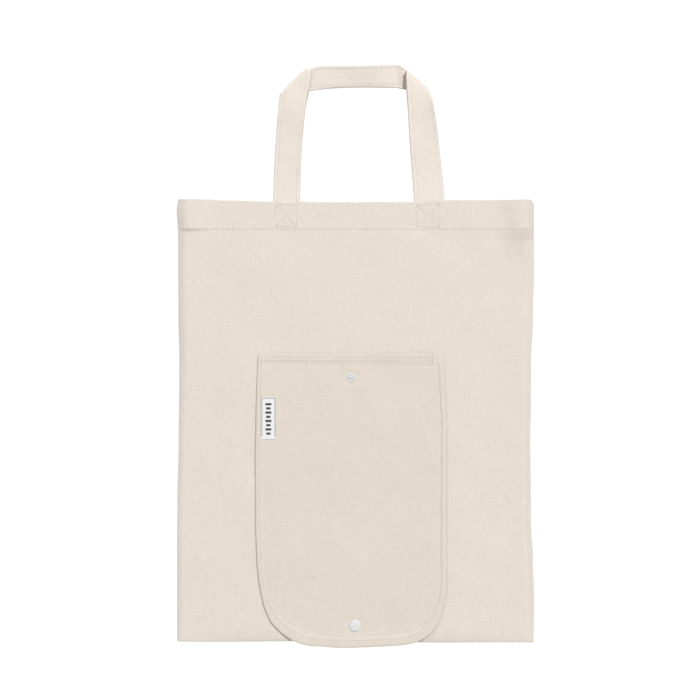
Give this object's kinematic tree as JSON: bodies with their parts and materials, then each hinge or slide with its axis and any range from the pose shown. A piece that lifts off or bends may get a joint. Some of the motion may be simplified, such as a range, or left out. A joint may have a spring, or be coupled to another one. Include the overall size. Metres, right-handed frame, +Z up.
{
  "type": "foldable tote bag",
  "caption": "Flat cotton tote with strap handles and a long round-ended storage pouch with snap fasteners hanging on its front.",
  "frame": {"origin": "middle of the bag's width and depth, at the lowest point of the hanging pouch", "axes": "+Z up towards the handles, -Y the front with the pouch, +X to the right seen from the front"},
  "size_m": [0.37, 0.012, 0.608],
  "materials": {
    "bag_cotton": "plain-weave natural cotton, matt",
    "pouch_cotton": "plain-weave natural cotton, matt",
    "strap_cotton": "doubled plain-weave cotton, matt",
    "thread": "spun sewing thread",
    "label_tape": "woven white tape with a grey edge",
    "white_plastic": "glossy moulded plastic",
    "clear_plastic": "translucent moulded plastic"
  },
  "bodies": {
    "bag_centre": {"front_panel_centre": "bag_cotton", "back_panel_centre": "bag_cotton", "front_hem_centre": "bag_cotton", "back_hem_centre": "bag_cotton", "bottom_seam_centre": "bag_cotton", "front_hem_stitching_centre": "thread", "back_hem_stitching_centre": "thread", "front_handle_ends": "strap_cotton", "back_handle_ends": "strap_cotton", "front_handle_stitching": "thread", "back_handle_stitching": "thread", "pouch_band": "pouch_cotton", "pouch_band_stitching": "thread"},
    "left_side": {"front_panel_left": "bag_cotton", "back_panel_left": "bag_cotton", "front_hem_left": "bag_cotton", "back_hem_left": "bag_cotton", "bottom_seam_left": "bag_cotton", "side_seam_left": "bag_cotton", "front_hem_stitching_left": "thread", "back_hem_stitching_left": "thread"},
    "right_side": {"front_panel_right": "bag_cotton", "back_panel_right": "bag_cotton", "front_hem_right": "bag_cotton", "back_hem_right": "bag_cotton", "bottom_seam_right": "bag_cotton", "side_seam_right": "bag_cotton", "front_hem_stitching_right": "thread", "back_hem_stitching_right": "thread"},
    "front_handle": {"front_handle_strap": "strap_cotton", "front_handle_edge_stitching": "thread"},
    "back_handle": {"back_handle_strap": "strap_cotton", "back_handle_edge_stitching": "thread"},
    "pouch": {"pouch_face_upper": "pouch_cotton", "pouch_pocket_upper": "pouch_cotton", "pouch_stitching_upper": "thread", "label": "label_tape", "pouch_snap_stud": "clear_plastic", "pouch_snap_backing": "clear_plastic"},
    "pouch_flap": {"pouch_face_flap": "pouch_cotton", "pouch_pocket_flap": "pouch_cotton", "pouch_stitching_flap": "thread", "flap_snap_cap": "white_plastic", "flap_snap_socket": "white_plastic"}
  },
  "joints": [
    {"name": "fold_left_side", "type": "hinge", "parent": "bag_centre", "child": "left_side", "pos_m": [-0.1052, 0.00624, 0.236], "axis": [0, 0, -1], "range_deg": [0, 175]},
    {"name": "fold_right_side", "type": "hinge", "parent": "bag_centre", "child": "right_side", "pos_m": [0.1052, 0.00624, 0.236], "axis": [0, 0, 1], "range_deg": [0, 175]},
    {"name": "drop_front_handle", "type": "hinge", "parent": "bag_centre", "child": "front_handle", "pos_m": [0, -0.00297, 0.469], "axis": [-1, 0, 0], "range_deg": [-175, 0]},
    {"name": "drop_back_handle", "type": "hinge", "parent": "bag_centre", "child": "back_handle", "pos_m": [0, 0.00703, 0.469], "axis": [1, 0, 0], "range_deg": [-175, 0]},
    {"name": "lift_pouch", "type": "hinge", "parent": "bag_centre", "child": "pouch", "pos_m": [-0.004, -0.00327, 0.297], "axis": [-1, 0, 0], "range_deg": [0, 165]},
    {"name": "fold_pouch", "type": "hinge", "parent": "pouch", "child": "pouch_flap", "pos_m": [-0.004, -0.00436, 0.152], "axis": [1, 0, 0], "range_deg": [-172, 0]}
  ]
}
